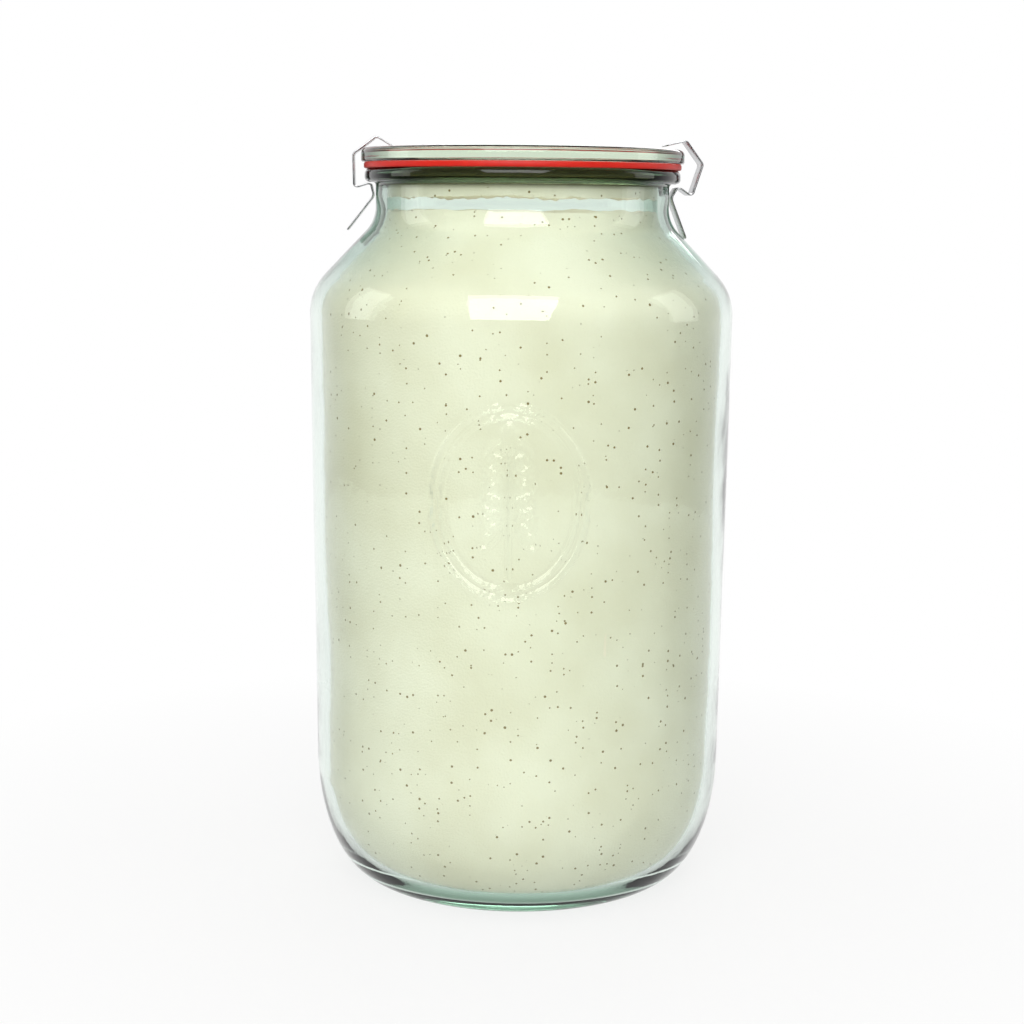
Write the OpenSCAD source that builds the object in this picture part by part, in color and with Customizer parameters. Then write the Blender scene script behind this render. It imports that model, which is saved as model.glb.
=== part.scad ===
// Preserving jar of pressed glass, filled to the neck, with a glass lid on a rubber
// ring and two bent spring-steel clips. The origin is the middle of the foot, +Z is up.

/* [Jar body] */
// Outer diameter of the body, just below the shoulder
body_d = 145; // [125:1:175]
// How much narrower the body is at the top of the heel
body_taper = 3.6; // [0:0.2:8]
// Height of the rim's sealing face above the foot
jar_h = 245; // [160:1:320]
// Thickness of the glass wall
wall = 3.8; // [3:0.1:5]
// Thickness of the glass floor
base_t = 6; // [4:0.5:10]
// Height of the push-up under the middle of the floor
punt_h = 5; // [2:0.5:10]
// Diameter on which the jar stands, where the heel begins
foot_d = 101.4; // [90:0.2:110]
// Width of the flat ring that meets the table
foot_land = 4.7; // [2:0.1:8]
// Height of the rounded heel
heel_h = 43; // [20:1:50]

/* [Shoulder and neck] */
// Radius of the bulging part of the shoulder
shoulder_r = 20; // [10:0.5:26]
// Slope of the shoulder, in degrees from level
shoulder_slope = 46.5; // [35:0.5:60]
// Outer diameter of the neck
neck_d = 100; // [92:0.5:104]
// Radius of the hollow between neck and shoulder
neck_hollow_r = 12; // [6:0.5:16]
// Depth from the sealing face to the start of the hollow
neck_h = 12.5; // [10:0.5:30]

/* [Rim] */
// Outer diameter of the rim's flange
rim_d = 107.6; // [106:0.1:109]
// Thickness of the rim's flange
rim_t = 4.6; // [3.5:0.1:7]
// Rounding of the flange's lower edge
rim_lower_round = 1.6; // [0.5:0.1:1.7]
// Rounding of the flange's upper edge
rim_upper_round = 1.8; // [0.5:0.1:1.8]
// Rounding between neck and flange
rim_fillet = 1.2; // [0.5:0.1:1.5]
// Rounding of the mouth's inner edge
mouth_round = 3; // [2:0.1:3.5]

/* [Lid] */
// Outer diameter of the glass lid
lid_d = 110; // [108:0.5:114]
// Thickness of the lid at its edge
lid_t = 4.9; // [4:0.1:7]
// Rounding of the lid's upper edge
lid_upper_round = 2; // [0.5:0.1:2.4]
// Rounding of the lid's lower edge
lid_lower_round = 0.9; // [0.3:0.1:1.5]
// Width of the crest that runs round the lid's edge
lid_crest = 1.2; // [0.5:0.1:4]
// Fall of the lid's top from the crest to the panel, in degrees
lid_fall = 3; // [1:0.5:4]
// Diameter of the sunken panel in the lid's top
panel_d = 76; // [50:1:84]
// Depth of the panel below the surface around it
panel_depth = 1.2; // [0.5:0.1:2]
// How far the lid's centring disc reaches below the lid's seat
boss_depth = 2.8; // [2.2:0.1:3.5]

/* [Sealing ring] */
// Inner diameter of the rubber ring
ring_id = 94; // [93:0.5:96]
// Width of the rubber ring, from its inner to its outer edge
ring_w = 7; // [5:0.5:9]
// Thickness of the rubber ring
ring_t = 2; // [1.5:0.1:3]
// Width of the pull tab
tab_w = 16; // [8:1:24]
// How far the pull tab stands out from the ring
tab_l = 8; // [4:0.5:12]

/* [Clips] */
// Width of the steel strip
clip_w = 11.5; // [6:0.5:20]
// Thickness of the steel strip
strip_t = 0.5; // [0.3:0.05:0.8]
// How far the tip reaches in from the lid's edge
clip_reach = 11.7; // [6:0.1:14]
// How far the peak stands in from the lid's edge
clip_peak_in = 5.3; // [3:0.1:7]
// Height of the peak above the lid's crest
clip_rise = 3.8; // [2:0.1:6]
// Distance of the back from the lid's edge
clip_stand_off = 2.5; // [1.5:0.05:4]
// Depth of the back's upper corner below the lid's crest
clip_drop = 2.1; // [0.5:0.1:4]
// Depth of the back's lower corner below the flange
clip_heel_drop = 2; // [1.2:0.1:3]
// Depth of the bend against the neck below the flange
clip_neck_drop = 4.6; // [3.5:0.1:6]
// Length of the tail below the neck bend
tail_l = 14.6; // [8:0.1:15]
// Slope of the tail, in degrees from level
tail_slope = 52; // [45:0.5:56]
// Rounding of the strip's end corners
tip_round = 1.6; // [0.5:0.1:3]
// Direction of the left clip round the jar, in degrees from +X
left_turn = 181.8; // [150:0.1:210]
// Direction of the right clip round the jar, in degrees from +X
right_turn = 3.7; // [-30:0.1:30]
// How far the right clip is rocked off the lid, in degrees
right_rock = 16.5; // [0:0.5:16.5]

/* [Filling] */
// Height of the filling's edge above the foot's plane, measured down from the rim
fill_drop = 17.5; // [16:0.5:60]
// Height of the filling's crown above its edge
fill_crown = 1.6; // [0.5:0.1:2.5]

/* [Fits] */
// Running gap between pieces that only rest or hook on each other
gap = 0.3; // [0.2:0.05:0.4]

/* [Hidden] */
$fn = 96;
arc_steps = 12;
bend_steps = 6;

body_r = body_d / 2;
heel_top_r = body_r - body_taper / 2;
foot_r = foot_d / 2;
foot_in_r = foot_r - foot_land;
heel_w = heel_top_r - foot_r;
neck_r = neck_d / 2;
mouth_r = neck_r - wall;
rim_r = rim_d / 2;
rim_under = jar_h - rim_t;
lid_r = lid_d / 2;
lid_seat = jar_h + ring_t;
lid_top = lid_seat + lid_t;
lid_crest_r = lid_r - lid_upper_round - lid_crest;
panel_r = panel_d / 2;
ring_r = ring_id / 2 + ring_w;
panel_edge_z = lid_top - (lid_crest_r - panel_r) * tan(lid_fall);
panel_z = panel_edge_z - panel_depth;
boss_r = ring_id / 2 - gap;
boss_z = lid_seat - boss_depth;
fill_z = jar_h - fill_drop;

// Points on an arc round c, with radii [rr, rz], from angle a0 to a1
function arc(c, radii, a0, a1, steps = arc_steps) = [
    for (i = [0 : steps])
        let (a = a0 + (a1 - a0) * i / steps)
        [c[0] + radii[0] * cos(a), c[1] + radii[1] * sin(a)]
];

function reversed(points) = [for (i = [len(points) - 1 : -1 : 0]) points[i]];

// Shoulder from the body up to the neck, drawn depth inside the outer surface
lean = 90 - shoulder_slope;
hollow_c = [neck_r + neck_hollow_r, jar_h - neck_h];
slope_run = body_r - shoulder_r * (1 - cos(lean)) - neck_r - neck_hollow_r * (1 - cos(lean));
bulge_z = hollow_c[1] - (neck_hollow_r + shoulder_r) * sin(lean) - slope_run * tan(shoulder_slope);
bulge_c = [body_r - shoulder_r, bulge_z];

function shoulder(depth) = concat(
    arc(bulge_c, [shoulder_r - depth, shoulder_r - depth], 0, lean),
    arc(hollow_c, [neck_hollow_r + depth, neck_hollow_r + depth], 180 + lean, 180)
);

// Heel from the foot up to the body; depth is taken off the side, lift off the floor
function heel(depth, lift) =
    arc([foot_r, heel_h], [heel_w - depth, heel_h - lift], -90, 0, 2 * arc_steps);

// Push-up from the middle of the floor out to the standing ring
function push_up(lift) = [
    for (i = [0 : arc_steps])
        let (s = i / arc_steps)
        [foot_in_r * s, lift + punt_h * (1 - s * s)]
];

outside = concat(
    push_up(0),
    heel(0, 0),
    shoulder(0),
    arc([neck_r + rim_fillet, rim_under - rim_fillet], [rim_fillet, rim_fillet], 180, 90, bend_steps),
    arc([rim_r - rim_lower_round, rim_under + rim_lower_round],
        [rim_lower_round, rim_lower_round], -90, 0, bend_steps),
    arc([rim_r - rim_upper_round, jar_h - rim_upper_round],
        [rim_upper_round, rim_upper_round], 0, 90, bend_steps)
);

// Cavity of the jar, shrunk by margin, from the middle of the floor up to the neck
function cavity(margin) = concat(
    push_up(base_t + margin),
    heel(wall + margin, base_t + margin),
    shoulder(wall + margin)
);

mouth = arc([mouth_r + mouth_round, jar_h - mouth_round], [mouth_round, mouth_round],
    180, 90, bend_steps);

module jar_glass() {
    color([0.72, 0.86, 0.80, 0.45])
        rotate_extrude()
            polygon(concat(outside, reversed(mouth), reversed(cavity(0))));
}

// The filling follows the cavity and ends in a low crown
crown_r = (mouth_r * mouth_r + fill_crown * fill_crown) / (2 * fill_crown);

module filling() {
    color([0.91, 0.90, 0.80])
        intersection() {
            rotate_extrude()
                polygon(concat(cavity(gap), [[0, jar_h - neck_h]]));
            translate([0, 0, fill_z + fill_crown - crown_r])
                sphere(r = crown_r, $fn = 180);
        }
}

lid_outline = concat(
    [[0, boss_z], [boss_r - gap - (boss_depth - ring_t), boss_z]],
    [[boss_r, jar_h + gap], [boss_r, lid_seat]],
    arc([lid_r - lid_lower_round, lid_seat + lid_lower_round],
        [lid_lower_round, lid_lower_round], -90, 0, bend_steps),
    arc([lid_r - lid_upper_round, lid_top - lid_upper_round],
        [lid_upper_round, lid_upper_round], 0, 90, bend_steps),
    [[lid_crest_r, lid_top], [panel_r, panel_edge_z]],
    [[panel_r - panel_depth, panel_z], [0, panel_z]]
);

module lid_glass() {
    color([0.76, 0.86, 0.76, 0.55])
        rotate_extrude()
            polygon(lid_outline);
}

// The pull tab points away from the front, between the clips
module sealing_ring() {
    color([0.86, 0.08, 0.05])
        translate([0, 0, jar_h])
            difference() {
                union() {
                    cylinder(r = ring_r, h = ring_t);
                    translate([-tab_w / 2, 0, 0])
                        cube([tab_w, ring_r + tab_l - tab_w / 2, ring_t]);
                    translate([0, ring_r + tab_l - tab_w / 2, 0])
                        cylinder(d = tab_w, h = ring_t);
                }
                translate([0, 0, -1])
                    cylinder(d = ring_id, h = ring_t + 2);
            }
}

// Centreline of a clip as [distance from the jar's axis, height], from tip to tail
half_t = strip_t / 2;
back_r = max(lid_r, ring_r) + clip_stand_off;
hook_z = rim_under - gap - half_t;
neck_bend = [neck_r + gap + half_t, rim_under - clip_neck_drop];
tip_r = lid_r - clip_reach;
tip_z = lid_top - max(lid_crest_r - tip_r, 0) * tan(lid_fall) + gap + half_t;

clip_line = [
    [tip_r, tip_z],
    [lid_r - clip_peak_in, lid_top + clip_rise],
    [back_r, lid_top - clip_drop],
    [back_r - gap, rim_under - clip_heel_drop],
    [rim_r - rim_lower_round + 0.6, hook_z],
    [neck_r + rim_fillet + gap, hook_z - gap / 2],
    neck_bend,
    neck_bend + tail_l * [cos(tail_slope), -sin(tail_slope)]
];

// Inner radius of each bend, tip and tail left out
clip_bends = [1.2, 1.6, 1.1, 0.9, 0.7, 2.5];

function unit(v) = v / norm(v);
function left_of(v) = [-v[1], v[0]];
function short_way(a) = a > 180 ? a - 360 : (a < -180 ? a + 360 : a);

// The corner at b between a and c, turned into an arc of radius r
function bend(a, b, c, r) =
    let (
        u = unit(a - b),
        v = unit(c - b),
        half = acos(u * v) / 2,
        middle = b + unit(u + v) * r / sin(half),
        from = b + u * r / tan(half) - middle,
        to = b + v * r / tan(half) - middle,
        a0 = atan2(from[1], from[0]),
        a1 = a0 + short_way(atan2(to[1], to[0]) - a0)
    )
    arc(middle, [r, r], a0, a1, bend_steps);

function bent(line, radii) = concat(
    [line[0]],
    [for (i = [1 : len(line) - 2]) each bend(line[i - 1], line[i], line[i + 1], radii[i - 1])],
    [line[len(line) - 1]]
);

// One side of a strip, off the centreline by d, mitred at every point
function side(line, d) = [
    for (i = [0 : len(line) - 1])
        let (
            before = left_of(unit(line[max(i, 1)] - line[max(i, 1) - 1])),
            after = left_of(unit(line[min(i + 1, len(line) - 1)] - line[min(i + 1, len(line) - 1) - 1])),
            across = unit(before + after)
        )
        line[i] + across * d / (across * before)
];

function strip(line, t) = concat(side(line, t / 2), reversed(side(line, -t / 2)));

// What is cut from a strip's end at the point at, whose strip arrives at angle a
module end_cut(at, a) {
    reach = tip_round + 1;
    translate([at[0], 0, at[1]])
        rotate([0, -a, 0])
            translate([-tip_round, 0, 0])
                difference() {
                    translate([0, -clip_w / 2 - 1, -2 * strip_t])
                        cube([reach, clip_w + 2, 4 * strip_t]);
                    for (s = [-1, 1])
                        translate([0, s * (clip_w / 2 - tip_round), -3 * strip_t])
                            cylinder(r = tip_round, h = 6 * strip_t);
                    translate([-1, -clip_w / 2 + tip_round, -3 * strip_t])
                        cube([tip_round + 1, clip_w - 2 * tip_round, 6 * strip_t]);
                }
}

function heading(a, b) = atan2(b[1] - a[1], b[0] - a[0]);

// A clip on the +X side, rocked outwards about its bend against the neck
module clip(rock) {
    last = len(clip_line) - 1;
    color([0.75, 0.76, 0.78])
        translate([neck_bend[0], 0, neck_bend[1]])
            rotate([0, rock, 0])
                translate([-neck_bend[0], 0, -neck_bend[1]])
                    difference() {
                        rotate([90, 0, 0])
                            linear_extrude(height = clip_w, center = true)
                                polygon(strip(bent(clip_line, clip_bends), strip_t));
                        end_cut(clip_line[0], heading(clip_line[1], clip_line[0]));
                        end_cut(clip_line[last], heading(clip_line[last - 1], clip_line[last]));
                    }
}

module clip_left() {
    rotate([0, 0, left_turn])
        clip(0);
}

module clip_right() {
    rotate([0, 0, right_turn])
        clip(right_rock);
}

jar_glass();
filling();
lid_glass();
sealing_ring();
clip_left();
clip_right();
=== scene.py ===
import math

import bmesh
import bpy
from mathutils import Matrix, Vector, noise


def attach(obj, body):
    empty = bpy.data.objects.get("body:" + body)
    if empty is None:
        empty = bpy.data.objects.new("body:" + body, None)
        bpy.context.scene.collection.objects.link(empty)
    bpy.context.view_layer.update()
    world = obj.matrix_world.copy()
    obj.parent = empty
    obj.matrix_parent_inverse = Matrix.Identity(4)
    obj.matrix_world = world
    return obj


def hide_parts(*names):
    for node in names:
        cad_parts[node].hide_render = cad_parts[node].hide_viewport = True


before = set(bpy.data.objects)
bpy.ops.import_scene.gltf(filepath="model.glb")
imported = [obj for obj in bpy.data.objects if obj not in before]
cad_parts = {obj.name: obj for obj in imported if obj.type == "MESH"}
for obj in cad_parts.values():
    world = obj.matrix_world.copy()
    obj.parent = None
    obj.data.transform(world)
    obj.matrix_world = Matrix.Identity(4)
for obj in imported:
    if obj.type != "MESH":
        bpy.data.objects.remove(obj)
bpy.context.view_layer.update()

MM = 0.001

# Real sizes of the jar, in millimetres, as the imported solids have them
BODY_R = 72.5
HEEL_TOP_R = 70.7
FOOT_R = 50.7
FOOT_IN_R = 46.0
HEEL_H = 43.0
WALL = 3.8
FLOOR_T = 6.0
PUNT_H = 5.0
SHOULDER_R = 20.0
SHOULDER_SLOPE = math.radians(46.5)
NECK_R = 50.0
HOLLOW_R = 12.0
JAR_H = 245.0
NECK_H = 12.5
RIM_R = 53.8
RIM_T = 4.6
RIM_LOWER_ROUND = 1.6
RIM_UPPER_ROUND = 1.8
RIM_FILLET = 1.2
MOUTH_ROUND = 3.0
RING_T = 2.0
LID_R = 55.0
LID_T = 4.9
LID_UPPER_ROUND = 2.0
LID_LOWER_ROUND = 0.9
LID_CREST_R = 51.8
LID_FALL = math.radians(3.0)
PANEL_R = 38.0
PANEL_DEPTH = 1.2
BOSS_R = 46.7
BOSS_DEPTH = 2.8
GAP = 0.3
FILL_EDGE = 227.5


def linear(hex_colour):
    """An sRGB hex colour as linear red, green, blue and alpha."""
    parts = [int(hex_colour[i:i + 2], 16) / 255 for i in (0, 2, 4)]
    return [p / 12.92 if p <= 0.04045 else ((p + 0.055) / 1.055) ** 2.4 for p in parts] + [1.0]


def add_node(tree, kind, inputs=None, **settings):
    """A node with its settings, its values and its links."""
    made = tree.nodes.new(kind)
    for key, value in settings.items():
        setattr(made, key, value)
    for key, value in (inputs or {}).items():
        if isinstance(value, bpy.types.NodeSocket):
            tree.links.new(value, made.inputs[key])
        else:
            made.inputs[key].default_value = value
    return made


def new_material(name):
    material = bpy.data.materials.new(name)
    material.use_nodes = True
    material.node_tree.nodes.clear()
    return material, material.node_tree


# Outlines are lists of (distance from the axis, height) in millimetres

def arc(centre, radii, start, end, steps=14):
    angles = [start + (end - start) * i / steps for i in range(steps + 1)]
    return [(centre[0] + radii[0] * math.cos(a), centre[1] + radii[1] * math.sin(a)) for a in angles]


def quarter(r, z, radius, start, end, steps=8):
    return arc((r, z), (radius, radius), math.radians(start), math.radians(end), steps)


def shoulder(depth):
    """From the body up to the neck, drawn depth inside the outer surface."""
    lean = math.pi / 2 - SHOULDER_SLOPE
    hollow = (NECK_R + HOLLOW_R, JAR_H - NECK_H)
    run = BODY_R - NECK_R - (SHOULDER_R + HOLLOW_R) * (1 - math.cos(lean))
    bulge_z = hollow[1] - (HOLLOW_R + SHOULDER_R) * math.sin(lean) - run * math.tan(SHOULDER_SLOPE)
    bulge_r = SHOULDER_R - depth
    hollow_r = HOLLOW_R + depth
    return (arc((BODY_R - SHOULDER_R, bulge_z), (bulge_r, bulge_r), 0, lean)
            + arc(hollow, (hollow_r, hollow_r), math.pi + lean, math.pi))


def heel(depth, lift):
    """From the foot up to the wall, drawn depth inside the wall and lift above the foot."""
    radii = (HEEL_TOP_R - FOOT_R - depth, HEEL_H - lift)
    return arc((FOOT_R, HEEL_H), radii, -math.pi / 2, 0, 28)


def push_up(lift, steps=12):
    """The domed underside, from the middle out to the foot."""
    return [(FOOT_IN_R * i / steps, lift + PUNT_H * (1 - (i / steps) ** 2)) for i in range(steps + 1)]


def between(low, high, step):
    """Points inside the straight line from low to high, about step apart."""
    count = max(1, round((high[1] - low[1]) / step))
    return [(low[0] + (high[0] - low[0]) * i / count, low[1] + (high[1] - low[1]) * i / count)
            for i in range(1, count)]


# Distance between rows of points: close on the outside, where the relief is
OUTER_ROW_STEP = 0.75
INNER_ROW_STEP = 12.0


def jar_outside():
    low, high = heel(0, 0)[-1], shoulder(0)[0]
    under = JAR_H - RIM_T
    return (push_up(0) + heel(0, 0) + between(low, high, OUTER_ROW_STEP) + shoulder(0)
            + quarter(NECK_R + RIM_FILLET, under - RIM_FILLET, RIM_FILLET, 180, 90)
            + quarter(RIM_R - RIM_LOWER_ROUND, under + RIM_LOWER_ROUND, RIM_LOWER_ROUND, -90, 0)
            + quarter(RIM_R - RIM_UPPER_ROUND, JAR_H - RIM_UPPER_ROUND, RIM_UPPER_ROUND, 0, 90))


def jar_inside(margin):
    low, high = heel(WALL + margin, FLOOR_T + margin)[-1], shoulder(WALL + margin)[0]
    return (push_up(FLOOR_T + margin) + heel(WALL + margin, FLOOR_T + margin)
            + between(low, high, INNER_ROW_STEP) + shoulder(WALL + margin))


def lid_outline():
    seat = JAR_H + RING_T
    top = seat + LID_T
    edge_z = top - (LID_CREST_R - PANEL_R) * math.tan(LID_FALL)
    panel_z = edge_z - PANEL_DEPTH
    boss_z = seat - BOSS_DEPTH
    boss = [(0, boss_z), (BOSS_R - GAP - (BOSS_DEPTH - RING_T), boss_z)]
    boss += [(BOSS_R, JAR_H + GAP), (BOSS_R, seat)]
    # The step down to the panel is softened at its upper and its lower corner
    step = [(PANEL_R + 0.8, edge_z + 0.04), (PANEL_R + 0.2, edge_z - 0.1)]
    step += [(PANEL_R - 0.8, panel_z + 0.15), (PANEL_R - 1.4, panel_z)]
    return (boss
            + quarter(LID_R - LID_LOWER_ROUND, seat + LID_LOWER_ROUND, LID_LOWER_ROUND, -90, 0)
            + quarter(LID_R - LID_UPPER_ROUND, top - LID_UPPER_ROUND, LID_UPPER_ROUND, 0, 90)
            + [(LID_CREST_R, top)] + step + [(0, panel_z)])


# Points closer than this are merged, in metres
MERGE = 1e-6
SHARP_EDGE = math.radians(35)


def mesh_object(name, vertices, faces, sharp=SHARP_EDGE):
    """A mesh in metres, its doubles merged and its faces pointing outwards."""
    mesh = bpy.data.meshes.new(name)
    mesh.from_pydata([tuple(v) for v in vertices], [], faces)
    work = bmesh.new()
    work.from_mesh(mesh)
    bmesh.ops.remove_doubles(work, verts=work.verts, dist=MERGE)
    bmesh.ops.dissolve_degenerate(work, edges=work.edges, dist=0.1 * MERGE)
    bmesh.ops.recalc_face_normals(work, faces=work.faces)
    work.to_mesh(mesh)
    work.free()
    mesh.polygons.foreach_set("use_smooth", [True] * len(mesh.polygons))
    mesh.set_sharp_from_angle(angle=sharp)
    made = bpy.data.objects.new(name, mesh)
    bpy.context.scene.collection.objects.link(made)
    return made


def revolve(name, outline, angles, move=None, sharp=SHARP_EDGE):
    """An outline in millimetres turned about the axis at the given angles, closed all round."""
    vertices, faces = [], []
    rows, turns = len(outline), len(angles)
    for row, (r, z) in enumerate(outline):
        for angle in angles:
            reach, height = move(row, r, z, angle) if move else (r, z)
            vertices.append((reach * math.cos(angle) * MM, reach * math.sin(angle) * MM, height * MM))
    for row in range(rows - 1):
        for turn in range(turns):
            side = (turn + 1) % turns
            faces.append((row * turns + turn, row * turns + side,
                          (row + 1) * turns + side, (row + 1) * turns + turn))
    return mesh_object(name, vertices, faces, sharp)


def even_angles(count):
    return [2 * math.pi * i / count for i in range(count)]


# The relief on the front, in millimetres on the wall: two oval lines round an ear of wheat
FRONT = -math.pi / 2
BADGE_TURN = math.radians(-3.0)
BADGE_Z = 140.5
BADGE_HALF_W = 25.5
BADGE_HALF_H = 30.5
BADGE_MARGIN = 3.0
BADGE_LIFT = 1.2
LINE_W = 1.1
INNER_LINE_IN = 3.2
INNER_LINE_W = 0.8
STEM_W = 0.9
STEM_LOW = -24.0
STEM_HIGH = 17.0
GRAIN_ROWS = 7
GRAIN_TOP = 15.5
GRAIN_STEP = 4.3
GRAIN_OUT = 4.4
GRAIN_HALF_W = 2.2
GRAIN_HALF_H = 4.4
GRAIN_LINE_W = 0.9
GRAIN_REACH = 7.0
# Heights as shares of the outer line's
INNER_LINE_SHARE = 0.7
GRAIN_LINE_SHARE = 0.85
GRAIN_FACE_SHARE = 0.35


def ridge(distance, width):
    """Height from 0 to 1 of a rounded ridge, at a distance from its middle line."""
    s = max(0.0, 1 - abs(distance) / width)
    return s * s * (3 - 2 * s)


def oval_distance(x, y, half_w, half_h):
    """Rough distance from the line of an oval, negative inside it."""
    k = math.hypot(x / half_w, y / half_h)
    slope = math.hypot(x / half_w ** 2, y / half_h ** 2)
    return (k - 1) * k / slope if slope > 1e-9 else -min(half_w, half_h)


def wheat_grains():
    """Middle, turn and half sizes of each grain: one at the tip, and pairs that lean out more lower down."""
    grains = [(0.0, 20.5, 0.0, 2.3, 4.6)]
    for row in range(GRAIN_ROWS):
        y = GRAIN_TOP - GRAIN_STEP * row
        lean = math.radians(24 + 2 * row)
        out = GRAIN_OUT + 0.25 * row
        grains += [(out, y, -lean, GRAIN_HALF_W, GRAIN_HALF_H), (-out, y, lean, GRAIN_HALF_W, GRAIN_HALF_H)]
    return grains


GRAINS = wheat_grains()


def badge_height(x, y):
    """Height of the relief from 0 to 1, at a place measured from its middle."""
    if abs(x) > BADGE_HALF_W + BADGE_MARGIN or abs(y) > BADGE_HALF_H + BADGE_MARGIN:
        return 0.0
    high = ridge(oval_distance(x, y, BADGE_HALF_W, BADGE_HALF_H), LINE_W)
    inner = oval_distance(x, y, BADGE_HALF_W - INNER_LINE_IN, BADGE_HALF_H - INNER_LINE_IN)
    high = max(high, INNER_LINE_SHARE * ridge(inner, INNER_LINE_W))
    if STEM_LOW < y < STEM_HIGH:
        high = max(high, ridge(x, STEM_W))
    for grain_x, grain_y, turn, half_w, half_h in GRAINS:
        dx, dy = x - grain_x, y - grain_y
        if abs(dx) < GRAIN_REACH and abs(dy) < GRAIN_REACH:
            u = dx * math.cos(turn) - dy * math.sin(turn)
            v = dx * math.sin(turn) + dy * math.cos(turn)
            edge = oval_distance(u, v, half_w, half_h)
            face = GRAIN_FACE_SHARE if edge < 0 else 0.0
            high = max(high, GRAIN_LINE_SHARE * ridge(edge, GRAIN_LINE_W), face)
    return high


def jar_angles():
    """Turns about the axis: half a degree apart across the relief, wider round the rest."""
    fine = math.radians(0.5)
    half, others = 50, 100
    middle = FRONT + BADGE_TURN
    close = [middle + fine * i for i in range(-half, half + 1)]
    left = 2 * math.pi - 2 * half * fine
    return close + [close[-1] + left * i / others for i in range(1, others)]


# Slow waviness that pressing leaves in the wall, between the heel and the shoulder, in millimetres
WAVY_FROM = HEEL_H - 5
WAVY_TO = 200.0
OUTER_WAVE = 0.12
INNER_WAVE = 0.35
INNER_WAVE_OFFSET = 400.0


def glass_wave(z, angle, amount):
    """A wave about 45 mm long round the wall and 55 mm up it."""
    spot = Vector((math.cos(angle) * 1.6, math.sin(angle) * 1.6, z / 55))
    return amount * noise.noise(spot)


def make_jar():
    outside = jar_outside()
    mouth = quarter(NECK_R - WALL + MOUTH_ROUND, JAR_H - MOUTH_ROUND, MOUTH_ROUND, 90, 180)
    outline = outside + mouth + jar_inside(0)[::-1]

    def move(row, r, z, angle):
        if not WAVY_FROM < z < WAVY_TO:
            return r, z
        if row >= len(outside):
            return r + glass_wave(z + INNER_WAVE_OFFSET, angle, INNER_WAVE), z
        x = (angle - FRONT - BADGE_TURN) * r
        return r + BADGE_LIFT * badge_height(x, z - BADGE_Z) + glass_wave(z, angle, OUTER_WAVE), z

    return revolve("jar_body", outline, jar_angles(), move)


def lumps(x, y, wave, seed):
    """Uneven height of flour, about -1 to 1, with lumps about wave millimetres across."""
    return noise.noise(Vector((x / wave, y / wave, seed)))


FLOUR_SHARP = math.radians(60)
FILL_TOP = FILL_EDGE + 3.0
FILL_DIP = 2.2


def make_filling():
    """Flour packed against the wall, its top edge and surface uneven."""
    side = [p for p in jar_inside(GAP) if p[1] < FILL_EDGE + 1]
    edge_r = NECK_R - WALL - GAP
    rows = side + [(edge_r + 0.05, FILL_TOP), (edge_r - 0.3, FILL_TOP + 0.4)]
    rows += [(edge_r * share, FILL_TOP) for share in (0.97, 0.93, 0.87, 0.8, 0.7, 0.58, 0.45, 0.3, 0.15, 0)]

    def move(row, r, z, angle):
        if row < len(side):
            return r, z
        x, y = r * math.cos(angle), r * math.sin(angle)
        # The surface falls away from the wall over the outer fifth of its radius
        dip = FILL_DIP * min(1.0, (1 - r / edge_r) * 5)
        return r, z - dip + 1.5 * lumps(x, y, 15, 3.0) + 0.6 * lumps(x, y, 5, 9.0)

    return revolve("flour_filling", rows, even_angles(240), move, FLOUR_SHARP)


CRUST_LOW = 235.6
CRUST_HIGH = 241.0
CRUST_T = 0.35


def make_crust():
    """Flour that clings to the inside of the neck, above a bare band."""
    wall_r = NECK_R - WALL - 0.05
    face_r = wall_r - CRUST_T
    rows = [(wall_r, CRUST_LOW), (wall_r, CRUST_LOW + 1.2), (wall_r, CRUST_HIGH - 1.5), (wall_r, CRUST_HIGH)]
    rows += [(face_r, CRUST_HIGH - 0.4), (face_r, CRUST_LOW + 0.4), (wall_r, CRUST_LOW)]

    def move(row, r, z, angle):
        x, y = NECK_R * math.cos(angle), NECK_R * math.sin(angle)
        ragged = 0.9 * lumps(x, y, 9, 5.0) + 0.7 * lumps(x, y, 2.5, 7.0)
        # The lower edge is the more ragged one
        share = 1.0 if z < CRUST_LOW + 1 else (0.5 if z > CRUST_HIGH - 1 else 0.0)
        return r, z + share * ragged

    return revolve("flour_crust", rows, even_angles(360), move, FLOUR_SHARP)


def make_lid():
    return revolve("lid_disc", lid_outline(), even_angles(256), None, math.radians(30))


CAD_SHARP = math.radians(40)


def from_cad(node, name, bevel, segments):
    """A piece shaped like a CAD node, with its sharp edges rounded by bevel metres."""
    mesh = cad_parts[node].data.copy()
    work = bmesh.new()
    work.from_mesh(mesh)
    bmesh.ops.remove_doubles(work, verts=work.verts, dist=2 * MERGE)
    bmesh.ops.dissolve_limit(work, angle_limit=math.radians(0.5), verts=work.verts, edges=work.edges)
    work.to_mesh(mesh)
    work.free()
    made = bpy.data.objects.new(name, mesh)
    bpy.context.scene.collection.objects.link(made)
    round_off = made.modifiers.new("rounded edges", "BEVEL")
    round_off.width = bevel
    round_off.segments = segments
    round_off.limit_method = "ANGLE"
    round_off.angle_limit = CAD_SHARP
    bpy.context.view_layer.update()
    evaluated = made.evaluated_get(bpy.context.evaluated_depsgraph_get())
    finished = bpy.data.meshes.new_from_object(evaluated)
    made.modifiers.clear()
    made.data = finished
    finished.polygons.foreach_set("use_smooth", [True] * len(finished.polygons))
    finished.set_sharp_from_angle(angle=CAD_SHARP)
    return made


def per_metre(size):
    """How often a pattern of a real size in millimetres comes in a metre, as its Scale."""
    return 1 / (size * MM)


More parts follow.
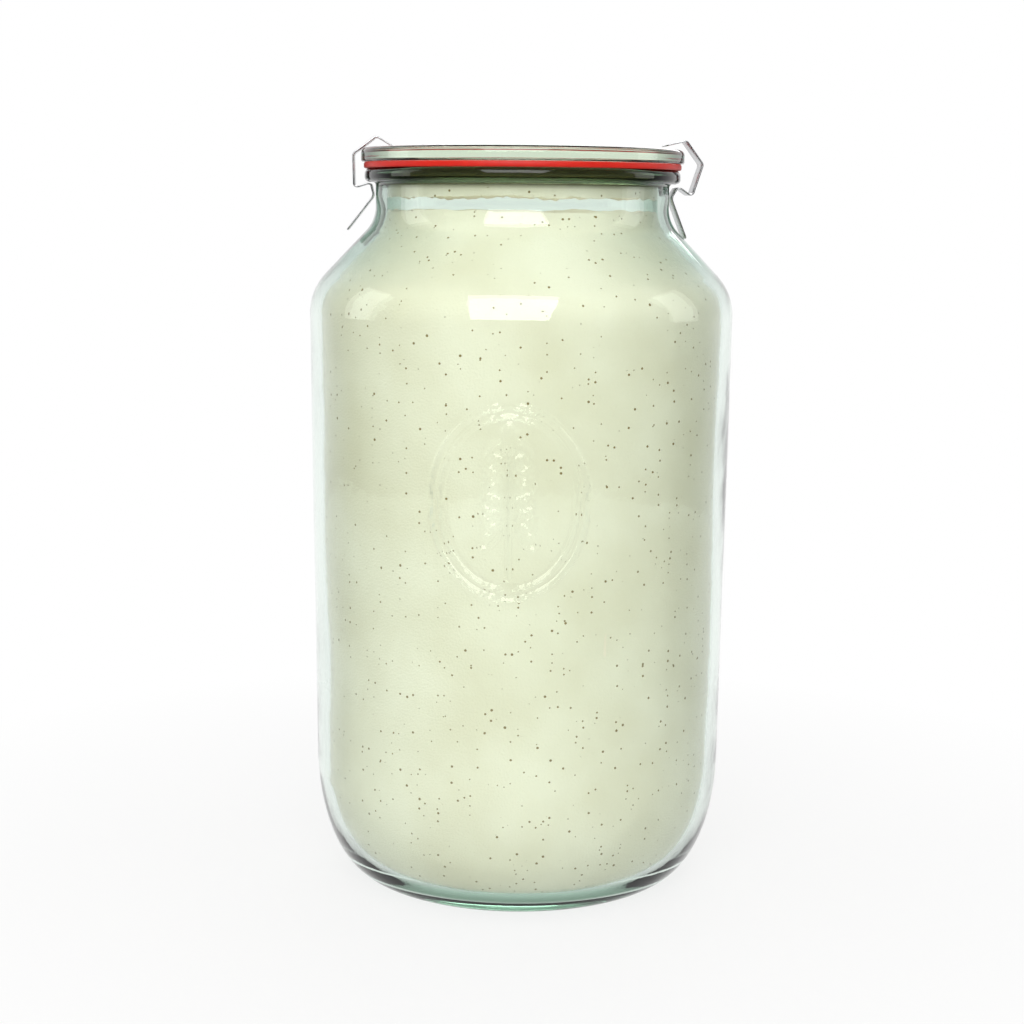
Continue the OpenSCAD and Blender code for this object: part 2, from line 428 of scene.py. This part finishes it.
# Faces seen straight on are nearly clear. At the foot and the rim the glass's green is darkened by painted
# shade, standing in for thick glass seen edge on, and at the top of the rim by a painted dark reflection:
# each band is its height in millimetres and its colour
CLEAR_FACE = "F4FBF6"
GLASS_TINT_AND_PAINTED_SHADE_BANDS = [(0.0, "4E6E5A"), (2.94, "86AF98"), (8.575, CLEAR_FACE),
             (238.14, CLEAR_FACE), (240.345, "666A48"), (243.53, "2A2E1A")]
# The painted teal shade of the shoulder, neck and lid, seen edge on, comes in between these heights
PAINTED_TEAL_FROM = 196.0
PAINTED_TEAL_FULL = 215.6


def pressed_glass(name, face, tint, density, wave, tint_and_painted_shade_bands=None):
    """Soda-lime glass, pressed in a mould: clear face on, green along its edges with painted shade and
    painted teal where seen edge on, softly wavy.
    """
    material, tree = new_material(name)
    place = add_node(tree, "ShaderNodeTexCoord").outputs["Object"]
    # Slow waves about 40 mm long from the mould, and fine ripples about 4 mm long
    slow = add_node(tree, "ShaderNodeTexNoise", {"Vector": place, "Scale": per_metre(40), "Detail": 2.0})
    fine = add_node(tree, "ShaderNodeTexNoise", {"Vector": place, "Scale": per_metre(3.84615), "Detail": 3.0})
    height = add_node(tree, "ShaderNodeMath", {0: fine.outputs["Fac"], 1: 0.06, 2: slow.outputs["Fac"]},
                      operation="MULTIPLY_ADD")
    bump = add_node(tree, "ShaderNodeBump", {"Height": height.outputs[0], "Strength": wave,
                                             "Distance": 0.002})
    up = add_node(tree, "ShaderNodeSeparateXYZ", {0: place}).outputs["Z"]
    level = add_node(tree, "ShaderNodeMath", {0: up, 1: JAR_H * MM}, operation="DIVIDE").outputs[0]
    colour = linear(face)
    if tint_and_painted_shade_bands:
        # Painted shade: the bands darken the base colour at the foot and the rim, by height
        ramp = add_node(tree, "ShaderNodeValToRGB", {"Fac": level})
        ends = ramp.color_ramp.elements
        ends[0].color, ends[1].color = linear(tint_and_painted_shade_bands[0][1]), linear(tint_and_painted_shade_bands[-1][1])
        ends[1].position = tint_and_painted_shade_bands[-1][0] / JAR_H
        for band_z, band_colour in tint_and_painted_shade_bands[1:-1]:
            ends.new(band_z / JAR_H).color = linear(band_colour)
        colour = ramp.outputs[0]
    # Painted shade: seen along its surface, the upper glass is painted teal, standing in for light's long
    # path through the thick glass
    facing = add_node(tree, "ShaderNodeLayerWeight", {"Blend": 0.5}).outputs["Facing"]
    edge_on = add_node(tree, "ShaderNodeMapRange", {"Value": facing, "From Min": 0.30, "From Max": 0.85,
                                                    "To Min": 0.0, "To Max": 1.0})
    high_up = add_node(tree, "ShaderNodeMapRange",
                       {"Value": level, "From Min": PAINTED_TEAL_FROM / JAR_H, "From Max": PAINTED_TEAL_FULL / JAR_H,
                        "To Min": 0.0, "To Max": 1.0})
    painted_teal_edge = add_node(tree, "ShaderNodeMath", {0: edge_on.outputs[0], 1: high_up.outputs[0]},
                    operation="MULTIPLY")
    shade = add_node(tree, "ShaderNodeMix", {"Factor": painted_teal_edge.outputs[0], "A": colour,
                                             "B": linear("3E7F62")}, data_type="RGBA")
    glass = add_node(tree, "ShaderNodeBsdfPrincipled",
                     {"Base Color": shade.outputs["Result"], "Roughness": 0.015, "IOR": 1.5,
                      "Transmission Weight": 1.0, "Normal": bump.outputs[0]})
    # Light from the lamps goes straight through to the flour
    clear = add_node(tree, "ShaderNodeBsdfTransparent", {"Color": linear("FAFCFA")})
    shadow = add_node(tree, "ShaderNodeLightPath").outputs["Is Shadow Ray"]
    mixed = add_node(tree, "ShaderNodeMixShader", {0: shadow, 1: glass.outputs[0], 2: clear.outputs[0]})
    body = add_node(tree, "ShaderNodeVolumeAbsorption", {"Color": linear(tint), "Density": density})
    add_node(tree, "ShaderNodeOutputMaterial", {"Surface": mixed.outputs[0], "Volume": body.outputs[0]})
    return material


def packed_flour():
    """Milled flour pressed against glass: matt cream with bran specks and cloudy packing marks."""
    material, tree = new_material("packed_flour")
    place = add_node(tree, "ShaderNodeTexCoord").outputs["Object"]
    # Packing clouds about 31 mm across
    cloud = add_node(tree, "ShaderNodeTexNoise", {"Vector": place, "Scale": per_metre(31.25), "Detail": 4.0})
    cream = add_node(tree, "ShaderNodeValToRGB", {"Fac": cloud.outputs["Fac"]})
    dark, pale = cream.color_ramp.elements
    dark.position, pale.position = 0.34, 0.68
    dark.color, pale.color = linear("E9DFCA"), linear("F5ECDB")
    # Bran specks: one in most cells of about 2 mm, up to 0.46 mm in radius so that they show
    cells = add_node(tree, "ShaderNodeTexVoronoi", {"Vector": place, "Scale": per_metre(2.083333)})
    chance = add_node(tree, "ShaderNodeSeparateXYZ", {0: cells.outputs["Color"]})
    limit = add_node(tree, "ShaderNodeMapRange", {"Value": chance.outputs["X"], "From Min": 0.3,
                                                  "From Max": 1.0, "To Min": 0.0, "To Max": 0.22})
    speck = add_node(tree, "ShaderNodeMath", {0: cells.outputs["Distance"], 1: limit.outputs[0]},
                     operation="LESS_THAN")
    colour = add_node(tree, "ShaderNodeMix", {"Factor": speck.outputs[0], "A": cream.outputs[0],
                                              "B": linear("8E7A50")}, data_type="RGBA")
    # Grit about 0.7 mm across, coarser than milled flour so that it shows
    grit = add_node(tree, "ShaderNodeTexNoise", {"Vector": place, "Scale": per_metre(0.7142857),
                                                 "Detail": 3.0})
    bump = add_node(tree, "ShaderNodeBump", {"Height": grit.outputs["Fac"], "Strength": 0.35,
                                             "Distance": 0.0006})
    matt = add_node(tree, "ShaderNodeBsdfPrincipled",
                    {"Base Color": colour.outputs["Result"], "Roughness": 0.95,
                     "Specular IOR Level": 0.1, "Normal": bump.outputs[0]})
    add_node(tree, "ShaderNodeOutputMaterial", {"Surface": matt.outputs[0]})
    return material


def red_rubber():
    """Natural rubber, moulded: saturated red with a soft sheen, faintly mottled."""
    material, tree = new_material("red_natural_rubber")
    place = add_node(tree, "ShaderNodeTexCoord").outputs["Object"]
    # Mottling about 3 mm across
    mottle = add_node(tree, "ShaderNodeTexNoise", {"Vector": place, "Scale": per_metre(3.333333),
                                                   "Detail": 4.0})
    shade = add_node(tree, "ShaderNodeValToRGB", {"Fac": mottle.outputs["Fac"]})
    dark, pale = shade.color_ramp.elements
    dark.color, pale.color = linear("D81408"), linear("EC2A16")
    bump = add_node(tree, "ShaderNodeBump", {"Height": mottle.outputs["Fac"], "Strength": 0.2,
                                             "Distance": 0.0003})
    rubber = add_node(tree, "ShaderNodeBsdfPrincipled",
                      {"Base Color": shade.outputs[0], "Roughness": 0.42, "Normal": bump.outputs[0]})
    add_node(tree, "ShaderNodeOutputMaterial", {"Surface": rubber.outputs[0]})
    return material


def spring_steel():
    """Stainless spring strip, rolled: bright grey with fine lines that vary its gloss."""
    material, tree = new_material("rolled_spring_steel")
    place = add_node(tree, "ShaderNodeTexCoord").outputs["Object"]
    # Rolling lines about 0.3 mm apart across the strip, drawn out to 5 mm along it
    stretch = add_node(tree, "ShaderNodeMapping",
                       {"Vector": place, "Scale": (per_metre(5), per_metre(0.2941176), per_metre(5))})
    lines = add_node(tree, "ShaderNodeTexNoise", {"Vector": stretch.outputs[0], "Scale": 1.0, "Detail": 3.0})
    rough = add_node(tree, "ShaderNodeMapRange", {"Value": lines.outputs["Fac"], "To Min": 0.16,
                                                  "To Max": 0.4})
    bump = add_node(tree, "ShaderNodeBump", {"Height": lines.outputs["Fac"], "Strength": 0.15,
                                             "Distance": 0.0002})
    steel = add_node(tree, "ShaderNodeBsdfPrincipled",
                     {"Base Color": linear("C9CACC"), "Metallic": 1.0, "Roughness": rough.outputs[0],
                      "Normal": bump.outputs[0]})
    add_node(tree, "ShaderNodeOutputMaterial", {"Surface": steel.outputs[0]})
    return material


WHITE = linear("FFFFFF")
# Brightness of the room that glass and metal show, and of the fill light
ROOM_LIGHT = 0.05
DIFFUSE_LIGHT = 0.28
# The room turns white behind the jar, between these parts of a direction that point away from the camera
BACK_FROM = 0.25
BACK_FULL = 0.8


def studio_white(name):
    """Matt white board that the camera and clear glass see as white, but for the jar's own shadow."""
    material, tree = new_material(name)
    path = add_node(tree, "ShaderNodeLightPath")
    seen = add_node(tree, "ShaderNodeMath", {0: path.outputs["Is Camera Ray"],
                                             1: path.outputs["Is Transmission Ray"]}, operation="MAXIMUM")
    lit = add_node(tree, "ShaderNodeMath", {0: seen.outputs[0], 1: path.outputs["Is Glossy Ray"]},
                   operation="MAXIMUM")
    # A fifth of the board's own shading shows near the jar, and none from 0.3 m out
    place = add_node(tree, "ShaderNodeTexCoord").outputs["Object"]
    away = add_node(tree, "ShaderNodeVectorMath", {0: place}, operation="LENGTH").outputs["Value"]
    share = add_node(tree, "ShaderNodeMapRange", {"Value": away, "From Min": 0.06, "From Max": 0.30,
                                                  "To Min": 0.80, "To Max": 1.0})
    part = add_node(tree, "ShaderNodeMath", {0: lit.outputs[0], 1: share.outputs[0]}, operation="MULTIPLY")
    # Reflections show the board fading into the dim room, or white behind the jar, so they draw no line
    # where it ends. Incoming points back along the ray, so what lies behind the jar has a negative Y
    fade = add_node(tree, "ShaderNodeMapRange", {"Value": away, "From Min": 0.10, "From Max": 0.50,
                                                 "To Min": 0.6, "To Max": ROOM_LIGHT})
    ray = add_node(tree, "ShaderNodeSeparateXYZ",
                   {0: add_node(tree, "ShaderNodeNewGeometry").outputs["Incoming"]})
    behind = add_node(tree, "ShaderNodeMapRange",
                      {"Value": ray.outputs["Y"], "From Min": -BACK_FROM, "From Max": -BACK_FULL,
                       "To Min": ROOM_LIGHT, "To Max": 1.0})
    mirrored = add_node(tree, "ShaderNodeMath", {0: fade.outputs[0], 1: behind.outputs[0]},
                        operation="MAXIMUM")
    bright = add_node(tree, "ShaderNodeMix", {"Factor": seen.outputs[0], "A": mirrored.outputs[0],
                                              "B": 1.0}, data_type="FLOAT")
    matt = add_node(tree, "ShaderNodeBsdfDiffuse", {"Color": linear("F2F2F0")})
    glow = add_node(tree, "ShaderNodeEmission", {"Color": WHITE, "Strength": bright.outputs["Result"]})
    mixed = add_node(tree, "ShaderNodeMixShader", {0: part.outputs[0], 1: matt.outputs[0],
                                                   2: glow.outputs[0]})
    add_node(tree, "ShaderNodeOutputMaterial", {"Surface": mixed.outputs[0]})
    return material


# The camera, fitted to the jar's outline in the photograph, in metres and degrees
LENS = 69.2
EYE = (-0.0026, -0.681, 0.2334)
LOOK_DOWN = 8.89
ROLL = 0.5


def set_camera():
    """The photograph's view: from just below the mouth's height, looking a little down at the body."""
    data = bpy.data.cameras.new("camera")
    data.lens = LENS
    data.sensor_width = 36.0
    camera = bpy.data.objects.new("camera", data)
    bpy.context.scene.collection.objects.link(camera)
    turned = (Matrix.Rotation(math.radians(90 - LOOK_DOWN), 4, "X")
              @ Matrix.Rotation(math.radians(ROLL), 4, "Z"))
    camera.matrix_world = Matrix.Translation(EYE) @ turned
    bpy.context.scene.camera = camera


def soft_lamp(name, place, aim_z, width, height, watts):
    """A softbox that faces the jar's axis at a height, all in metres."""
    data = bpy.data.lights.new(name, "AREA")
    data.shape = "RECTANGLE"
    data.size = width
    data.size_y = height
    data.energy = watts
    lamp = bpy.data.objects.new(name, data)
    bpy.context.scene.collection.objects.link(lamp)
    lamp.location = place
    lamp.rotation_euler = (Vector((0, 0, aim_z)) - Vector(place)).to_track_quat("-Z", "Y").to_euler()


def light_studio():
    """A broad softbox above the camera, a dimmer one behind and one at each side, and a white backdrop."""
    soft_lamp("front_softbox", (-0.10, -1.00, 0.78), aim_z=0.16, width=0.90, height=0.95, watts=9.4)
    soft_lamp("back_softbox", (0.15, 1.10, 0.80), aim_z=0.16, width=0.80, height=0.60, watts=4.0)
    soft_lamp("left_softbox", (-1.0, 0.1, 0.5), aim_z=0.12, width=0.4, height=0.7, watts=1.0)
    soft_lamp("right_softbox", (1.0, 0.1, 0.5), aim_z=0.12, width=0.4, height=0.7, watts=1.0)
    world = bpy.data.worlds.new("studio")
    bpy.context.scene.world = world
    world.use_nodes = True
    tree = world.node_tree
    tree.nodes.clear()
    path = add_node(tree, "ShaderNodeLightPath")
    # The room is dark in front, above and at the sides, and white behind, so glass edges turn dark
    way = add_node(tree, "ShaderNodeSeparateXYZ",
                   {0: add_node(tree, "ShaderNodeTexCoord").outputs["Generated"]})
    room = add_node(tree, "ShaderNodeMapRange",
                    {"Value": way.outputs["Y"], "From Min": BACK_FROM, "From Max": BACK_FULL,
                     "To Min": ROOM_LIGHT, "To Max": 1.0})
    # Matt surfaces get an even fill light, and the camera sees white
    bounced = add_node(tree, "ShaderNodeMath", {0: path.outputs["Diffuse Depth"], 1: 0.5},
                       operation="GREATER_THAN")
    filled = add_node(tree, "ShaderNodeMix", {"Factor": bounced.outputs[0], "A": room.outputs[0],
                                              "B": DIFFUSE_LIGHT}, data_type="FLOAT")
    strength = add_node(tree, "ShaderNodeMix", {"Factor": path.outputs["Is Camera Ray"],
                                                "A": filled.outputs["Result"], "B": 1.0}, data_type="FLOAT")
    sky = add_node(tree, "ShaderNodeBackground", {"Color": WHITE, "Strength": strength.outputs["Result"]})
    add_node(tree, "ShaderNodeOutputWorld", {"Surface": sky.outputs[0]})


FLOOR_R = 0.9
FLOOR_SIDES = 96


def lay_floor():
    """A round white board under the jar; past its edge the backdrop goes on in the same white."""
    rim = [(FLOOR_R * math.cos(a), FLOOR_R * math.sin(a), 0) for a in even_angles(FLOOR_SIDES)]
    made = mesh_object("studio_floor", rim, [tuple(range(FLOOR_SIDES))])
    made.data.materials.append(studio_white("white_board"))


def dress(piece, material, body, node=None):
    """A finished piece with its material, on its body, in place of a CAD node where it has one."""
    piece.data.materials.clear()
    piece.data.materials.append(material)
    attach(piece, body)
    if node:
        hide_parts(node)


set_camera()
light_studio()
lay_floor()
bpy.context.scene.view_settings.view_transform = "Standard"

JAR_GLASS = pressed_glass("pressed_soda_glass", CLEAR_FACE, "8AD8B4", 7.0, 0.10, GLASS_TINT_AND_PAINTED_SHADE_BANDS)
LID_GLASS = pressed_glass("pressed_lid_glass", "F6FBF4", "C2DCB4", 6.0, 0.06)
FLOUR = packed_flour()
RUBBER = red_rubber()
STEEL = spring_steel()

# Edges rounded by these widths, in metres
RING_BEVEL = 0.0006
CLIP_BEVEL = 0.00014

dress(make_jar(), JAR_GLASS, "jar", node="jar_glass")
dress(make_filling(), FLOUR, "jar", node="filling")
dress(make_crust(), FLOUR, "jar")
dress(make_lid(), LID_GLASS, "lid", node="lid_glass")
dress(from_cad("sealing_ring", "rubber_ring", RING_BEVEL, 4), RUBBER, "lid", node="sealing_ring")
for clip in ("clip_left", "clip_right"):
    dress(from_cad(clip, "spring_" + clip, CLIP_BEVEL, 2), STEEL, clip, node=clip)
